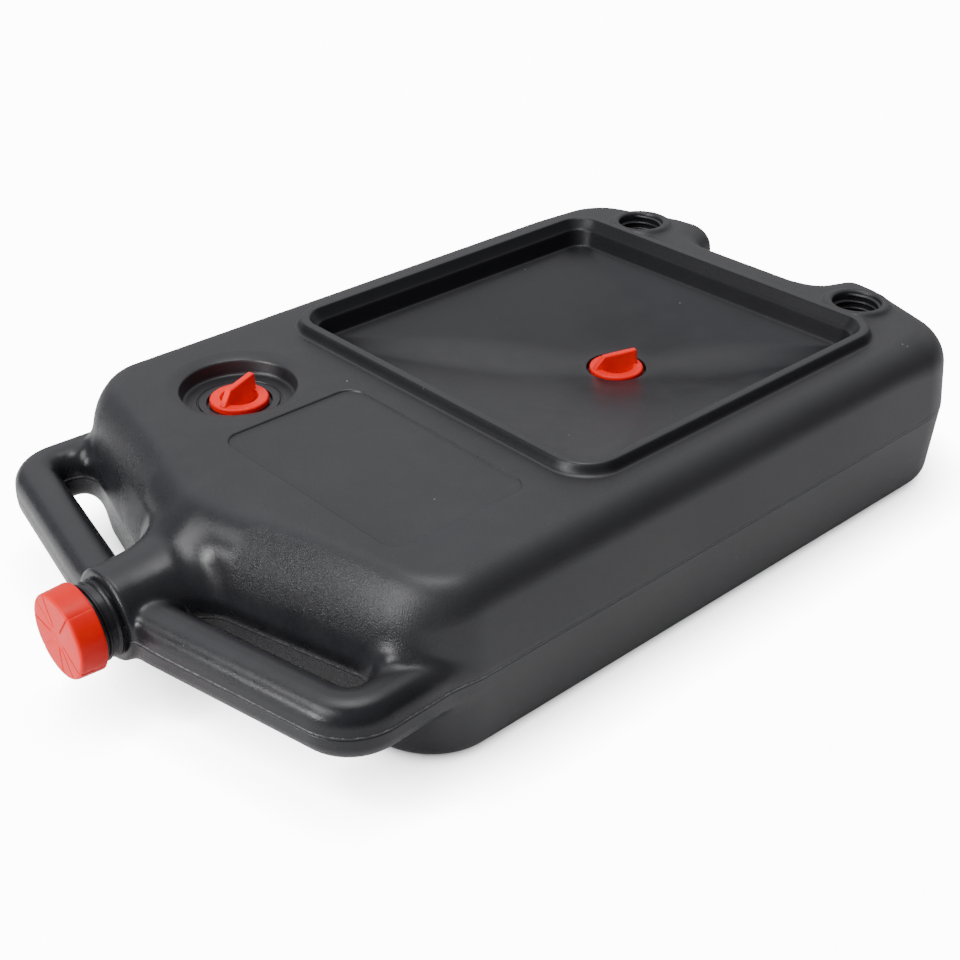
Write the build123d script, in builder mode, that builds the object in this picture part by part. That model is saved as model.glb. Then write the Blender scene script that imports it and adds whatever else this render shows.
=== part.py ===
from build123d import *
import os
from math import cos, hypot, radians, sin, tan

os.makedirs("parts", exist_ok=True)

# Oil drain pan: flat blow-moulded waste-oil canister with a catch tray in its
# top, three screw closures and two loop handles.
# Frame: +X from the spout to the rear, +Z up, origin at the centre of the
# footprint, on the plane it rests on. Millimetres.

# ---------------------------------------------------------------------------
# Dimensions
# ---------------------------------------------------------------------------

# body
HALF_LEN = 333.2        # cap face at -X, rear feet at +X
HALF_WID = 192.0        # at the mould's parting plane
PART_Z = 63.5           # height of the parting plane
BODY_H = 121.2          # top deck
WALL = 2.4              # blow-moulded wall
SIDE_DRAFT = 5.0        # degrees, both mould halves
NOSE_DRAFT = 12.0       # degrees, upper half of the swept front wall
NOSE_DRAFT_LOW = 9.0    # degrees, lower half of it
TOP_R = 20.0            # deck edge rounding
BOTTOM_R = 14.0         # bottom edge rounding
OVERCUT = 1.0           # how far cutting shapes stand out of the surface they cut

# plan outline at the parting plane, +Y half, from the nose to the rear wall:
# x, y, corner radius, turn (+1 at an outward corner, -1 at the inward one)
HALF_OUTLINE = [
    (-261.5, 0.0, 60.0, 1),         # nose
    (-211.0, HALF_WID, 55.0, 1),    # front corner
    (302.7, HALF_WID, 55.0, 1),     # rear corner
    (HALF_LEN, 105.0, 60.0, 1),     # rear foot, outer corner
    (HALF_LEN, 66.0, 24.0, 1),      # rear foot, inner corner
    (294.0, 53.0, 14.0, -1),        # root of the foot on the rear wall
]

# setbacks of the outline at each level: front edge, other edges
UPPER_H = BODY_H - PART_Z
PARTING_SETBACK = (0.0, 0.0)
DECK_SETBACK = (UPPER_H * tan(radians(NOSE_DRAFT)), UPPER_H * tan(radians(SIDE_DRAFT)))
BASE_SETBACK = (PART_Z * tan(radians(NOSE_DRAFT_LOW)), PART_Z * tan(radians(SIDE_DRAFT)))

# catch tray
TRAY_X = 99.05          # centre of the tray
TRAY_HALF = 145.4       # half of the rim's inner edge
TRAY_CORNER_R = 20.0
RIM_H = 128.5           # top of the rim
RIM_W = 7.3             # flat top of the rim
RIM_FOOT = 3.4          # the rim flares out by this much down to the deck
RIM_SINK = 2.0          # the rim starts this far below the deck
RIM_SINK_OUT = 1.0      # and this much wider there
RIM_FILLET = 2.0
LEDGE_Z = 120.3         # step inside the rim
LEDGE_IN = 4.0          # the rim's inner slope runs in by this much
LEDGE_W = 1.4
LEDGE_OUTER_R = TRAY_CORNER_R - 4
LEDGE_INNER_R = TRAY_CORNER_R - 6
TRAY_WALL_Z = 107.4     # where the tray wall meets the floor
TRAY_WALL_IN = 1.7
TRAY_FLOOR_R = TRAY_CORNER_R - 8
DRAIN_X, DRAIN_Z = 137.3, 77.7
DRAIN_HALF = 25.0       # square at the low point of the floor
DRAIN_CORNER_R = 6.0

# vent dish
VENT_X, VENT_Y = -132.7, 98.9
DISH_R_TOP, DISH_R_EDGE, DISH_R_FLOOR = 47.5, 39.6, 38.3
DISH_EDGE_Z, DISH_Z = 118.3, 108.2
GROOVE_R = 28.3         # ring groove in the dish floor
GROOVE_HALF_W = 0.6
GROOVE_DEPTH = 0.5

# label recess
LABEL_CENTRE = (-131.5, -43.5)
LABEL_SIZE = (105.8, 172.6)
LABEL_DEPTH = 1.0
LABEL_R = 12.0

# plug sockets (drain, vent and the two parking sockets share one thread)
SOCKET_ROOT_R = 17.9
SOCKET_CREST_R = 16.2
SOCKET_DEPTH = 15.0
SOCKET_OVERCUT = 5.0        # the bore's cutter runs on below the open sockets
SOCKET_THREAD_DROP = 11.4   # thread start below the seat
SOCKET_TURNS = 1.85
SEAT_R = 22.2               # counterbore round the flange
SEAT_DEPTH = 5.0            # drain seat below the tray's low point
VENT_SEAT_DEPTH = 3.1       # vent seat below the dish floor
SEAT_CUT_H = 12.0

# parking sockets
PARK_X, PARK_Y = 279.6, 108.8
PARK_DEPTH = 22.0
COLLAR_R, COLLAR_H = 25.0, 3.4
COLLAR_SINK = 8.0
COLLAR_FILLET = 1.6
PARK_TOP = BODY_H + COLLAR_H

# sockets: x, y, height of the seat
DRAIN_SOCKET = (DRAIN_X, 0.0, DRAIN_Z - SEAT_DEPTH)
VENT_SOCKET = (VENT_X, VENT_Y, DISH_Z - VENT_SEAT_DEPTH)
OPEN_SOCKETS = [DRAIN_SOCKET, VENT_SOCKET]
PARK_SOCKETS = [(PARK_X, PARK_Y, PARK_TOP), (PARK_X, -PARK_Y, PARK_TOP)]

# wing plugs and seals
PLUG_ROOT_R = 15.5
PLUG_CREST_R = 17.2
PLUG_DEPTH = 12.0           # below the flange
PLUG_THREAD_DROP = 11.0     # thread start below the flange
PLUG_TURNS = 1.5
FLANGE_R = 20.2
FLANGE_T = 4.0
FLANGE_FILLET = 1.6
CUP_R = 13.2                # open-topped cup in the plug
CUP_FLOOR_T = 2.2
FIN_T = 5.2                 # grip fin
FIN_TALL, FIN_LOW = 11.6, 9.9
FIN_FILLET = 1.3
FIN_FILLET_MIN_Z = 4.0      # fin edges higher than this over the flange are rounded
FIN_BITE = 0.8              # overlap of fin and web into the plug
DRAIN_FIN_AZ, VENT_FIN_AZ = -22.0, 18.0     # degrees
WEB_T = FIN_T - 1.2         # web below the fin
WEB_LIFT = 1.0              # its underside above the plug's underside
WEB_DROP = 6.0              # its top below the flange's top
SEAL_T = 2.0
SEAL_IN = 0.3               # the seal reaches this far inside the socket's bore
GAP = 0.05                  # assembly gap at seats

# grip fin profile: distance along the fin from the plug axis, height over the flange
FIN_PROFILE = [
    (-CUP_R - FIN_BITE, -8.0), (-CUP_R - FIN_BITE, -FIN_BITE), (-18.6, -FIN_BITE),
    (-18.6, 0.6), (-11.0, FIN_LOW), (15.6, FIN_TALL), (16.4, -FIN_BITE),
    (CUP_R + FIN_BITE, -FIN_BITE), (CUP_R + FIN_BITE, -8.0),
]

# spout
NECK_Z = PART_Z
NECK_R = 30.0
LIP_X = -302.0          # shoulder face
LIP_FILLET = 4.0
MOUTH_X = -329.0        # end of the neck
NECK_ROOT_R = 23.5
NECK_CREST_R = 24.9
NECK_BORE_R = 20.5
NECK_THREAD_BACK = 21.5     # thread start behind the mouth
NECK_TURNS = 3.5
NECK_START_X = -235.0       # inside the body
# flare of the spout: x, radius
NECK_FLARE = [(NECK_START_X, NECK_R + 6), (-262.0, NECK_R + 1.5), (-280.0, NECK_R)]
SPOUT_PLANE = Plane(origin=(0, 0, NECK_Z), x_dir=(1, 0, 0), z_dir=(0, -1, 0))
SPOUT_AXIS = Axis((0, 0, NECK_Z), (1, 0, 0))

# spout cap and liner
CAP_FACE_X = -HALF_LEN
CAP_BACK_X = -316.0
CAP_R = 28.1
CAP_R_FACE = 27.5
CAP_FILLET = 2.2
CAP_ROOF = 2.6
ROOF_X = CAP_FACE_X + CAP_ROOF      # inside of the roof
CAP_ROOT_R = 25.7
CAP_CREST_R = 24.2
CAP_THREAD_IN = 4.0                 # thread start inside the open end
CAP_TURNS = 1.6
CAP_GROOVES = 8
CAP_GROOVE_ANGLE = 11.0             # degrees, first groove
CAP_GROOVE_MID_R = 17.5
CAP_GROOVE_LEN, CAP_GROOVE_W, CAP_GROOVE_DEPTH = 23.0, 2.2, 0.8
FLUTE_R = 1.5
FLUTE_OUT = 0.55                    # flute centres outside the cap's radius
FLUTE_LEN = 11.0
LINER_R = CAP_CREST_R - 0.4

# ridge sections of the two thread sizes
PLUG_RIDGE = dict(pitch=5.0, base_width=2.7, crest_width=1.0)
CAP_RIDGE = dict(pitch=5.0, base_width=3.0, crest_width=1.1)
THREAD_BITE = 0.5       # the ridges' bases are sunk this far into their walls

# handles (+Y one; the other is its mirror)
HANDLE_Z = 59.3
HANDLE_PATH = [(-289.4, 9.0, HANDLE_Z), (-254.7, 175.8, HANDLE_Z), (-160.0, 175.8, HANDLE_Z)]
HANDLE_BEND = 22.0
HANDLE_W, HANDLE_H, HANDLE_R = 30.0, 38.5, 14.0
HANDLE_LIP_SETBACK = 0.4    # trimmed this far behind the spout's shoulder
TRIM_SIZE, TRIM_LEN = 120.0, 30.0


# ---------------------------------------------------------------------------
# Shared shapes
# ---------------------------------------------------------------------------
def save(part, name):
    part.label = name
    export_step(part, f"parts/{name}.step")


def nearest_vertex(sketch, x, y):
    return sketch.vertices().sort_by(lambda v: hypot(v.X - x, v.Y - y))[0]


def cylinder(x, y, z_low, z_high, outer_r, inner_r=0):
    """Upright cylinder, or a ring if it has an inner radius."""
    with BuildPart() as part:
        with BuildSketch(Plane.XY.offset(z_low)):
            with Locations((x, y)):
                Circle(outer_r)
                if inner_r:
                    Circle(inner_r, mode=Mode.SUBTRACT)
        extrude(amount=z_high - z_low)
    return part.part


def thread_ridge(centre, direction, turns, base_r, crest_r, pitch, base_width, crest_width):
    """A right-hand helical ridge; centre is where its first turn starts."""
    with BuildPart() as ridge:
        with BuildLine() as path:
            Helix(pitch, pitch * turns, base_r, center=centre, direction=direction)
        start = path.line @ 0
        outward = Vector(*start) - Vector(*centre)
        start_r = outward.length
        outward = outward.normalized()
        with BuildSketch(Plane(origin=start, x_dir=outward, z_dir=path.line % 0)):
            with BuildLine():
                base, crest = base_r - start_r, crest_r - start_r
                Polyline((base, -base_width / 2), (crest, -crest_width / 2),
                         (crest, crest_width / 2), (base, base_width / 2), close=True)
            make_face()
        sweep(is_frenet=True)
    return ridge.part


# ---------------------------------------------------------------------------
# Body
# ---------------------------------------------------------------------------
def meet(first, second):
    """Crossing of two lines, each given as x, y, direction x, direction y."""
    x1, y1, dir_x1, dir_y1 = first
    x2, y2, dir_x2, dir_y2 = second
    cross = dir_x1 * dir_y2 - dir_y1 * dir_x2
    along = ((x2 - x1) * dir_y2 - (y2 - y1) * dir_x2) / cross
    return (x1 + along * dir_x1, y1 + along * dir_y1)


def shifted_outline(front, other):
    """+Y half-outline corners with the front edge and the others moved inwards."""
    corners = [(x, y) for x, y, _, _ in HALF_OUTLINE]
    corners.append((corners[-1][0], 0.0))
    lines = [(0.0, 0.0, 1.0, 0.0)]      # the centre line
    for i, ((x1, y1), (x2, y2)) in enumerate(zip(corners, corners[1:])):
        length = hypot(x2 - x1, y2 - y1)
        dir_x, dir_y = (x2 - x1) / length, (y2 - y1) / length
        # the outline runs clockwise seen from above, so its right side is inwards
        offset = front if i == 0 else other
        lines.append((x1 + dir_y * offset, y1 - dir_x * offset, dir_x, dir_y))
    return [meet(first, second) for first, second in zip(lines, lines[1:])]


def body_section(z, setback, inset):
    half = shifted_outline(setback[0] + inset, setback[1] + inset)
    radii = [radius - turn * inset for _, _, radius, turn in HALF_OUTLINE]
    points = half + [(x, -y) for x, y in reversed(half[1:])]
    radii += list(reversed(radii[1:]))
    with BuildSketch(Plane.XY.offset(z)) as section:
        with BuildLine():
            Polyline(*points, close=True)
        make_face()
        for (x, y), radius in zip(points, radii):
            fillet(nearest_vertex(section, x, y), radius)
    return section.sketch.face()


def body_half(lower, upper, rounded_level, edge_r, inset):
    """One mould half between two (z, setback) levels, rounded at its end edge."""
    with BuildPart() as half:
        loft([body_section(*lower, inset), body_section(*upper, inset)], ruled=True)
        fillet(half.edges().group_by(Axis.Z)[rounded_level], edge_r - inset)
    return half.part


def body_solid(inset=0.0):
    """The closed blow-moulded volume, or the same moved inwards by a wall."""
    parting = (PART_Z, PARTING_SETBACK)
    with BuildPart() as whole:
        add(body_half(parting, (BODY_H - inset, DECK_SETBACK), -1, TOP_R, inset))
        add(body_half((inset, BASE_SETBACK), parting, 0, BOTTOM_R, inset))
    return whole.part


def square_section(z, centre_x, half, corner_r):
    with BuildSketch(Plane.XY.offset(z)) as section:
        with Locations((centre_x, 0)):
            RectangleRounded(2 * half, 2 * half, corner_r)
    return section.sketch.face()


def tray_pit(growth=0.0):
    """The hollow of the catch tray, or its lower part grown by a wall."""
    ledge_outer = TRAY_HALF - LEDGE_IN
    ledge_inner = ledge_outer - LEDGE_W
    floor_half = ledge_inner - TRAY_WALL_IN + growth
    floor_z = TRAY_WALL_Z - growth
    floor_r = TRAY_FLOOR_R + growth
    wall_top = BODY_H if growth else LEDGE_Z
    with BuildPart() as pit:
        if not growth:
            loft([square_section(LEDGE_Z, TRAY_X, ledge_outer, LEDGE_OUTER_R),
                  square_section(RIM_H, TRAY_X, TRAY_HALF, TRAY_CORNER_R)], ruled=True)
        loft([square_section(floor_z, TRAY_X, floor_half, floor_r),
              square_section(wall_top, TRAY_X, ledge_inner + growth, LEDGE_INNER_R + growth)],
             ruled=True)
        loft([square_section(DRAIN_Z - growth, DRAIN_X, DRAIN_HALF, DRAIN_CORNER_R),
              square_section(floor_z, TRAY_X, floor_half, floor_r)], ruled=True)
    return pit.part


def dish_pit(growth=0.0):
    """The round dish of the vent, with its sloping lip."""
    slope = (BODY_H - DISH_EDGE_Z) / (DISH_R_TOP - DISH_R_EDGE)
    floor_z = DISH_Z - growth
    top_z = BODY_H - growth + OVERCUT
    with BuildPart() as dish:
        with BuildSketch(Plane.XZ):
            with BuildLine():
                Polyline((0, floor_z), (DISH_R_FLOOR + growth, floor_z),
                         (DISH_R_EDGE + growth, DISH_EDGE_Z - growth),
                         (DISH_R_TOP + growth + OVERCUT / slope, top_z), (0, top_z), close=True)
            make_face()
        revolve(axis=Axis.Z)
    return Pos(VENT_X, VENT_Y, 0) * dish.part


def label_slab(growth=0.0):
    """Cutter of the label recess, or the same grown by a wall."""
    with BuildPart() as slab:
        with BuildSketch(Plane.XY.offset(BODY_H - growth - LABEL_DEPTH)):
            with Locations(LABEL_CENTRE):
                RectangleRounded(LABEL_SIZE[0] + 2 * growth, LABEL_SIZE[1] + 2 * growth,
                                 LABEL_R + growth)
        extrude(amount=LABEL_DEPTH + OVERCUT)
    return slab.part


def handle_loop(inset=0.0):
    """The +Y handle: a rounded bar swept from the spout round to the side."""
    with BuildPart() as loop:
        with BuildLine() as path:
            FilletPolyline(*HANDLE_PATH, radius=HANDLE_BEND)
        start = path.line @ 0
        with BuildSketch(Plane(origin=start, x_dir=(0, 0, 1), z_dir=path.line % 0)):
            RectangleRounded(HANDLE_H - 2 * inset, HANDLE_W - 2 * inset, HANDLE_R - inset)
        sweep()
        # nothing of it may stand in front of the spout's shoulder
        trim_x = LIP_X + HANDLE_LIP_SETBACK + inset
        with BuildSketch(Plane(origin=(trim_x, 0, NECK_Z), z_dir=(-1, 0, 0))):
            Rectangle(TRIM_SIZE, TRIM_SIZE)
        extrude(amount=TRIM_LEN, mode=Mode.SUBTRACT)
    return loop.part


def neck_solid(inset=0.0):
    """The spout turned about its axis, or its hollow if inset by a wall."""
    profile = [(NECK_START_X, 0)] + [(x, radius - inset) for x, radius in NECK_FLARE]
    if inset:
        # the bore narrows behind the lip and runs out through the mouth
        profile += [(LIP_X + 5, NECK_R - inset), (LIP_X - 1, NECK_BORE_R),
                    (MOUTH_X - 5, NECK_BORE_R), (MOUTH_X - 5, 0)]
    else:
        profile += [(LIP_X, NECK_R), (LIP_X, NECK_ROOT_R), (MOUTH_X, NECK_ROOT_R), (MOUTH_X, 0)]
    with BuildPart() as neck:
        with BuildSketch(SPOUT_PLANE) as section:
            with BuildLine():
                Polyline(*profile, close=True)
            make_face()
            if not inset:
                fillet(nearest_vertex(section, LIP_X, NECK_R), LIP_FILLET)
        revolve(axis=SPOUT_AXIS)
    return neck.part


# ---------------------------------------------------------------------------
# Canister
# ---------------------------------------------------------------------------
def build_cavity():
    """The hollow inside the canister, leaving a wall round every recess."""
    handle = handle_loop(WALL)
    with BuildPart() as cavity:
        add(body_solid(WALL))
        add(neck_solid(WALL))
        add(handle)
        add(mirror(handle, about=Plane.XZ))
        add(tray_pit(WALL), mode=Mode.SUBTRACT)
        add(dish_pit(WALL), mode=Mode.SUBTRACT)
        # the deck's inner skin follows the label recess
        add(label_slab(WALL), mode=Mode.SUBTRACT)
        for x, y, seat in OPEN_SOCKETS:
            add(cylinder(x, y, seat - WALL, BODY_H, SEAT_R + WALL), mode=Mode.SUBTRACT)
            add(cylinder(x, y, seat - SOCKET_DEPTH, BODY_H, SOCKET_ROOT_R + WALL),
                mode=Mode.SUBTRACT)
        for x, y, _ in PARK_SOCKETS:
            add(cylinder(x, y, BODY_H - PARK_DEPTH - WALL, BODY_H, SOCKET_ROOT_R + WALL),
                mode=Mode.SUBTRACT)
    return cavity.part


def build_canister():
    handle = handle_loop()
    cavity = build_cavity()
    with BuildPart() as canister:
        add(body_solid())
        add(neck_solid())
        add(handle)
        add(mirror(handle, about=Plane.XZ))
        # tray rim, flared down to the deck
        rim_half, rim_r = TRAY_HALF + RIM_W, TRAY_CORNER_R + RIM_W
        loft([square_section(BODY_H - RIM_SINK, TRAY_X, rim_half + RIM_FOOT + RIM_SINK_OUT,
                             rim_r + RIM_FOOT),
              square_section(RIM_H, TRAY_X, rim_half, rim_r)], ruled=True)
        # low collars round the parking sockets
        for x, y, top in PARK_SOCKETS:
            add(cylinder(x, y, BODY_H - COLLAR_SINK, top, COLLAR_R))
        rim_top = canister.faces().filter_by(Axis.Z).sort_by(Axis.Z)[-1]
        fillet(rim_top.edges(), RIM_FILLET)
        collar_tops = canister.faces().filter_by(Axis.Z).filter_by(
            lambda face: abs(face.center().Z - PARK_TOP) < 0.01)
        fillet(collar_tops.edges(), COLLAR_FILLET)

        # hollow and recesses
        add(cavity, mode=Mode.SUBTRACT)
        add(tray_pit(), mode=Mode.SUBTRACT)
        add(dish_pit(), mode=Mode.SUBTRACT)
        add(cylinder(VENT_X, VENT_Y, DISH_Z - GROOVE_DEPTH, DISH_Z + OVERCUT,
                     GROOVE_R + GROOVE_HALF_W, GROOVE_R - GROOVE_HALF_W), mode=Mode.SUBTRACT)
        add(label_slab(), mode=Mode.SUBTRACT)
        for x, y, seat in OPEN_SOCKETS:
            add(cylinder(x, y, seat, seat + SEAT_CUT_H, SEAT_R), mode=Mode.SUBTRACT)
            add(cylinder(x, y, seat - SOCKET_DEPTH - SOCKET_OVERCUT, seat + OVERCUT,
                         SOCKET_ROOT_R), mode=Mode.SUBTRACT)
        for x, y, top in PARK_SOCKETS:
            add(cylinder(x, y, BODY_H - PARK_DEPTH, top + OVERCUT, SOCKET_ROOT_R),
                mode=Mode.SUBTRACT)

        # threads of the sockets and the neck
        for x, y, seat in OPEN_SOCKETS + PARK_SOCKETS:
            add(thread_ridge((x, y, seat - SOCKET_THREAD_DROP), (0, 0, 1), SOCKET_TURNS,
                             SOCKET_ROOT_R + THREAD_BITE, SOCKET_CREST_R, **PLUG_RIDGE))
        add(thread_ridge((MOUTH_X + NECK_THREAD_BACK, 0, NECK_Z), (-1, 0, 0), NECK_TURNS,
                         NECK_ROOT_R - THREAD_BITE, NECK_CREST_R, **CAP_RIDGE))
    return canister.part


# ---------------------------------------------------------------------------
# Wing plugs and their seals
# ---------------------------------------------------------------------------
def wing_plug(x, y, seat, azimuth):
    """Screw plug: a cup closed at the bottom, with a grip fin across its open top.
    seat is the height of its socket's seat, azimuth the fin's direction."""
    base = seat + SEAL_T + GAP * 2
    top = base + FLANGE_T
    bottom = base - PLUG_DEPTH
    along_x, along_y = cos(radians(azimuth)), sin(radians(azimuth))
    along = (along_x, along_y, 0)
    with BuildPart() as plug:
        with BuildSketch(Plane.XY.offset(base)):
            with Locations((x, y)):
                Circle(FLANGE_R)
        extrude(amount=FLANGE_T)
        fillet(plug.edges().group_by(Axis.Z)[-1], FLANGE_FILLET)
        with BuildSketch(Plane.XY.offset(bottom)):
            with Locations((x, y)):
                Circle(PLUG_ROOT_R)
        extrude(amount=PLUG_DEPTH)
        add(cylinder(x, y, bottom + CUP_FLOOR_T, top + OVERCUT, CUP_R), mode=Mode.SUBTRACT)
        # the fin, in the upright plane through the axis; it joins the plug on closing
        with BuildPart() as fin:
            with BuildSketch(Plane(origin=(x, y, top), x_dir=along,
                                   z_dir=(along_y, -along_x, 0))):
                with BuildLine():
                    Polyline(*FIN_PROFILE, close=True)
                make_face()
            extrude(amount=FIN_T / 2, both=True)
            upper = fin.edges().filter_by(lambda e: e.center().Z > top + FIN_FILLET_MIN_Z)
            fillet(upper, FIN_FILLET)
        # the web below it, then the fin fused again over the web
        web_z = bottom + WEB_LIFT
        with BuildSketch(Plane(origin=(x, y, web_z), x_dir=along, z_dir=(0, 0, 1))):
            Rectangle(2 * (CUP_R + FIN_BITE), WEB_T)
        extrude(amount=top - WEB_DROP - web_z)
        add(fin.part)
        add(thread_ridge((x, y, base - PLUG_THREAD_DROP), (0, 0, 1), PLUG_TURNS,
                         PLUG_ROOT_R - THREAD_BITE, PLUG_CREST_R, **PLUG_RIDGE))
    return plug.part


def seal_ring(x, y, seat):
    return cylinder(x, y, seat + GAP, seat + GAP + SEAL_T, FLANGE_R, SOCKET_ROOT_R - SEAL_IN)


# ---------------------------------------------------------------------------
# Spout cap and its liner
# ---------------------------------------------------------------------------
def build_spout_cap():
    face_plane = Plane(origin=(CAP_FACE_X - OVERCUT, 0, NECK_Z), x_dir=(0, 1, 0), z_dir=(1, 0, 0))
    with BuildPart() as cap:
        with BuildSketch(SPOUT_PLANE) as section:
            with BuildLine():
                Polyline((CAP_FACE_X, 0), (CAP_FACE_X, CAP_R_FACE), (CAP_BACK_X, CAP_R),
                         (CAP_BACK_X, CAP_ROOT_R), (ROOF_X, CAP_ROOT_R), (ROOF_X, 0), close=True)
            make_face()
            fillet(nearest_vertex(section, CAP_FACE_X, CAP_R_FACE), CAP_FILLET)
        revolve(axis=SPOUT_AXIS)
        # shallow grooves across the face that run on as flutes down the side
        with BuildSketch(face_plane):
            with PolarLocations(0, CAP_GROOVES, start_angle=CAP_GROOVE_ANGLE):
                with Locations((CAP_GROOVE_MID_R, 0)):
                    SlotOverall(CAP_GROOVE_LEN, CAP_GROOVE_W)
        extrude(amount=CAP_GROOVE_DEPTH + OVERCUT, mode=Mode.SUBTRACT)
        with BuildSketch(face_plane):
            with PolarLocations(CAP_R + FLUTE_OUT, CAP_GROOVES, start_angle=CAP_GROOVE_ANGLE):
                Circle(FLUTE_R)
        extrude(amount=FLUTE_LEN + OVERCUT, mode=Mode.SUBTRACT)
        add(thread_ridge((CAP_BACK_X - CAP_THREAD_IN, 0, NECK_Z), (-1, 0, 0), CAP_TURNS,
                         CAP_ROOT_R + THREAD_BITE, CAP_CREST_R, **CAP_RIDGE))
    return cap.part


def build_cap_liner():
    """Disc between the cap's roof and the mouth of the neck."""
    front_x, back_x = ROOF_X + GAP / 2, MOUTH_X - GAP / 2
    with BuildPart() as liner:
        with BuildSketch(SPOUT_PLANE):
            with BuildLine():
                Polyline((front_x, 0), (front_x, LINER_R), (back_x, LINER_R), (back_x, 0),
                         close=True)
            make_face()
        revolve(axis=SPOUT_AXIS)
    return liner.part


save(build_canister(), "canister")
for name, socket, azimuth in [("drain_plug", DRAIN_SOCKET, DRAIN_FIN_AZ),
                              ("vent_plug", VENT_SOCKET, VENT_FIN_AZ)]:
    save(wing_plug(*socket, azimuth), name)
    save(seal_ring(*socket), f"{name}_seal")
save(build_spout_cap(), "spout_cap")
save(build_cap_liner(), "spout_cap_liner")
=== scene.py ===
import math
from functools import reduce

import bpy
import bmesh
import numpy as np
from mathutils import Matrix, Vector


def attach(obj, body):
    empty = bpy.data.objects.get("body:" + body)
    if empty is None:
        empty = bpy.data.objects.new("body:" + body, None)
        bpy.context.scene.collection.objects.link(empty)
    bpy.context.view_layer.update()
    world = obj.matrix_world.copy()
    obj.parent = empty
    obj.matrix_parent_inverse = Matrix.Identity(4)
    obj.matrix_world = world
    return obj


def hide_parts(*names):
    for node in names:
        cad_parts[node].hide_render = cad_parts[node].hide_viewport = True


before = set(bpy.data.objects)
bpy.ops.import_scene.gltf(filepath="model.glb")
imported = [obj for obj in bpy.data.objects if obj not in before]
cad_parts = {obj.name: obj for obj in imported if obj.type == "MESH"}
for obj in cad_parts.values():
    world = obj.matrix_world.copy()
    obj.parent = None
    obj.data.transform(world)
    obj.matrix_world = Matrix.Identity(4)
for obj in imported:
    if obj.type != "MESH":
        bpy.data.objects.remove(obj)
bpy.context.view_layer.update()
MM = 0.001

# ---------------------------------------------------------------------------
# driving dimensions, in mm
# ---------------------------------------------------------------------------
PARTING_Z = 63.5            # where the two mould halves meet; also the height of the spout's axis
DECK_Z = 121.2
TRAY_X = 99.05              # centre of the square catch tray
DRAIN = (137.3, 0.0)        # centres of the threaded sockets, in plan
VENT = (-132.7, 98.9)
REAR_SOCKET = (279.6, 108.8)     # one at +Y and one at -Y
DRAIN_Z = 77.7              # tray floor at the drain
DRAIN_SEAT_Z, VENT_SEAT_Z, REAR_SOCKET_TOP = 72.7, 105.1, 124.6
THREAD_ROOT_R, THREAD_CREST_R, THREAD_PITCH = 17.9, 16.2, 5.0
LIP_X = -302.0              # front end of the moulded neck
SPOUT_AXIS = (0.0, 0.0, PARTING_Z)


# ---------------------------------------------------------------------------
# mesh helpers
# ---------------------------------------------------------------------------
def link_mesh(name, mesh):
    obj = bpy.data.objects.new(name, mesh)
    bpy.context.scene.collection.objects.link(obj)
    return obj


def new_object(name, verts, faces):
    mesh = bpy.data.meshes.new(name)
    points = [tuple(v) for v in np.asarray(verts, float)]
    mesh.from_pydata(points, [], [tuple(int(i) for i in f) for f in faces])
    mesh.validate()
    return link_mesh(name, mesh)


def quad_object(name, verts, quads):
    """An object from arrays, quick enough for very many quads."""
    mesh = bpy.data.meshes.new(name)
    count = len(quads)
    mesh.vertices.add(len(verts))
    mesh.vertices.foreach_set("co", np.asarray(verts, np.float32).ravel())
    mesh.loops.add(count * 4)
    mesh.loops.foreach_set("vertex_index", np.asarray(quads, np.int32).ravel())
    mesh.polygons.add(count)
    mesh.polygons.foreach_set("loop_start", np.arange(0, count * 4, 4, dtype=np.int32))
    mesh.update(calc_edges=True)
    return link_mesh(name, mesh)


def fetch(items, key, dtype, width=1):
    """One attribute of a mesh collection as an array."""
    out = np.zeros(len(items) * width, dtype)
    items.foreach_get(key, out)
    return out.reshape(-1, width) if width > 1 else out


def smooth(mesh, sharp_angle):
    mesh.polygons.foreach_set("use_smooth", np.ones(len(mesh.polygons), bool))
    mesh.set_sharp_from_angle(angle=math.radians(sharp_angle))


def bake(obj):
    """Applies the modifiers of an object."""
    depsgraph = bpy.context.evaluated_depsgraph_get()
    depsgraph.update()
    mesh = bpy.data.meshes.new_from_object(obj.evaluated_get(depsgraph))
    old = obj.data
    obj.modifiers.clear()
    obj.data = mesh
    bpy.data.meshes.remove(old)


def combine(target, tool, operation):
    """Boolean of two closed meshes; the tool is used up."""
    modifier = target.modifiers.new("b", "BOOLEAN")
    modifier.operation = operation
    modifier.object = tool
    modifier.solver = "MANIFOLD"
    bake(target)
    bpy.data.objects.remove(tool)


def turn_outward(obj):
    bm = bmesh.new()
    bm.from_mesh(obj.data)
    bmesh.ops.recalc_face_normals(bm, faces=bm.faces)
    if bm.calc_volume(signed=True) < 0:
        bmesh.ops.reverse_faces(bm, faces=bm.faces)
    bm.to_mesh(obj.data)
    bm.free()


def stack(name, rings):
    """A closed solid from rings of equal point count, capped with a fan at both ends."""
    n = len(rings[0])
    last = (len(rings) - 1) * n
    verts = [p for ring in rings for p in ring]
    faces = []
    for a in range(0, last, n):
        b = a + n
        for i in range(n):
            j = (i + 1) % n
            faces.append((a + i, a + j, b + j, b + i))
    for base, ring, is_first in ((0, rings[0], True), (last, rings[-1], False)):
        hub = len(verts)
        verts.append(tuple(np.mean(np.asarray(ring), axis=0)))
        for i in range(n):
            j = (i + 1) % n
            faces.append((base + j, base + i, hub) if is_first else (base + i, base + j, hub))
    obj = new_object(name, verts, faces)
    turn_outward(obj)
    return obj


def turned(centre, axis, radius, height, cos, sin):
    """A point turned round an axis. Height runs up for axis z and towards -X for axis x."""
    cx, cy, cz = centre
    if axis == "z":
        return cx + radius * cos, cy + radius * sin, cz + height
    return cx - height, cy + radius * sin, cz + radius * cos


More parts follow.
